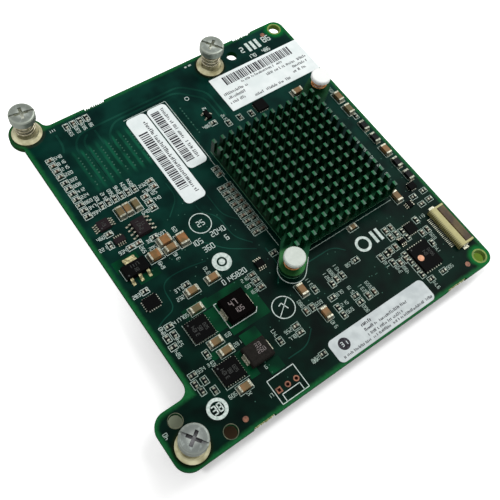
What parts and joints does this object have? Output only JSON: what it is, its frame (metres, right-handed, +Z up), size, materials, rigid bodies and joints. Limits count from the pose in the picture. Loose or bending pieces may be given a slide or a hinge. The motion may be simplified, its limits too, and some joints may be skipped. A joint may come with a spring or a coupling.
{
  "type": "network adapter card",
  "caption": "Flat server mezzanine network card: green board with captive corner screws, pinned heat sink, chips, cable connector and a plug-in connector below.",
  "frame": {"origin": "middle of the outline at the height of the host connector's mating face, on which the card stands", "axes": "+X along the near edge towards the cable connector, +Y towards the far edge with two captive screws, +Z up from the side with the heat sink"},
  "size_m": [0.0988, 0.1034, 0.0165],
  "materials": {
    "laminate": "satin",
    "anodised": "satin",
    "screw_zinc": "satin",
    "ferrule_plate": "satin",
    "spring_steel": "polished",
    "nylon": "matte",
    "copper_spring": "satin",
    "moulding_black": "matte",
    "inductor_black": "matte",
    "tin": "satin",
    "capacitor_tan": "satin",
    "capacitor_brown": "satin",
    "resistor_black": "satin",
    "ferrite_grey": "matte",
    "substrate_green": "satin",
    "lid_metal": "satin",
    "pad_grey": "matte",
    "label_paper": "matte",
    "housing_beige": "satin",
    "flip_brown": "satin",
    "host_black": "matte",
    "contact_gold": "polished"
  },
  "bodies": {
    "card": {"circuit_board": "laminate", "heat_sink": "anodised", "controller_substrate": "substrate_green", "controller_lid": "lid_metal", "thermal_pad": "pad_grey", "push_pin_1": "nylon", "push_pin_2": "nylon", "push_pin_spring_1": "copper_spring", "push_pin_spring_2": "copper_spring", "cable_housing": "housing_beige", "cable_contacts": "tin", "cable_anchors": "tin", "host_housing": "host_black", "host_blades": "contact_gold", "power_inductor_1": "inductor_black", "power_inductor_2": "inductor_black", "inductor_plates": "tin", "regulator_chip_1": "moulding_black", "regulator_chip_2": "moulding_black", "interface_chip": "moulding_black", "flat_chips": "moulding_black", "memory_chip": "moulding_black", "memory_chip_leads": "tin", "narrow_chip": "moulding_black", "narrow_chip_leads": "tin", "linear_regulator": "moulding_black", "linear_regulator_leads": "tin", "logic_chips": "moulding_black", "transistor": "moulding_black", "logic_chip_leads": "tin", "small_capacitors": "capacitor_brown", "chip_resistors": "resistor_black", "large_capacitors": "capacitor_tan", "wide_capacitors": "capacitor_tan", "large_capacitor_ends": "tin", "ferrite_chips": "ferrite_grey", "ferrite_chip_ends": "tin", "serial_label": "label_paper", "address_label_1": "label_paper", "address_label_2": "label_paper", "product_label": "label_paper", "screw_ferrule_1": "ferrule_plate", "screw_ferrule_2": "ferrule_plate", "screw_ferrule_3": "ferrule_plate"},
    "spring_1": {"screw_spring_1": "spring_steel"},
    "screw_1": {"captive_screw_1": "screw_zinc"},
    "spring_2": {"screw_spring_2": "spring_steel"},
    "screw_2": {"captive_screw_2": "screw_zinc"},
    "spring_3": {"screw_spring_3": "spring_steel"},
    "screw_3": {"captive_screw_3": "screw_zinc"},
    "flip_bar": {"cable_flip_bar": "flip_brown"}
  },
  "joints": [
    {"name": "screw_1_press", "type": "slide", "parent": "card", "child": "spring_1", "axis": [0, 0, 1], "range_m": [-0.0026, 0], "stiffness_N_per_m": 300, "springref_m": 0.002, "deforming": ["screw_spring_1"]},
    {"name": "screw_1_turn", "type": "hinge", "parent": "spring_1", "child": "screw_1", "pos_m": [-0.0348, 0.0468, 0.0154], "axis": [0, 0, 1], "continuous": true},
    {"name": "screw_2_press", "type": "slide", "parent": "card", "child": "spring_2", "axis": [0, 0, 1], "range_m": [-0.0026, 0], "stiffness_N_per_m": 300, "springref_m": 0.002, "deforming": ["screw_spring_2"]},
    {"name": "screw_2_turn", "type": "hinge", "parent": "spring_2", "child": "screw_2", "pos_m": [0.02097, 0.0413, 0.0154], "axis": [0, 0, 1], "continuous": true},
    {"name": "screw_3_press", "type": "slide", "parent": "card", "child": "spring_3", "axis": [0, 0, 1], "range_m": [-0.0026, 0], "stiffness_N_per_m": 300, "springref_m": 0.002, "deforming": ["screw_spring_3"]},
    {"name": "screw_3_turn", "type": "hinge", "parent": "spring_3", "child": "screw_3", "pos_m": [-0.0441, -0.04679, 0.0154], "axis": [0, 0, 1], "continuous": true},
    {"name": "flip_bar_lift", "type": "hinge", "parent": "card", "child": "flip_bar", "pos_m": [0.04565, -0.03786, 0.0087], "axis": [0, -1, 0], "range_deg": [0, 90]}
  ]
}
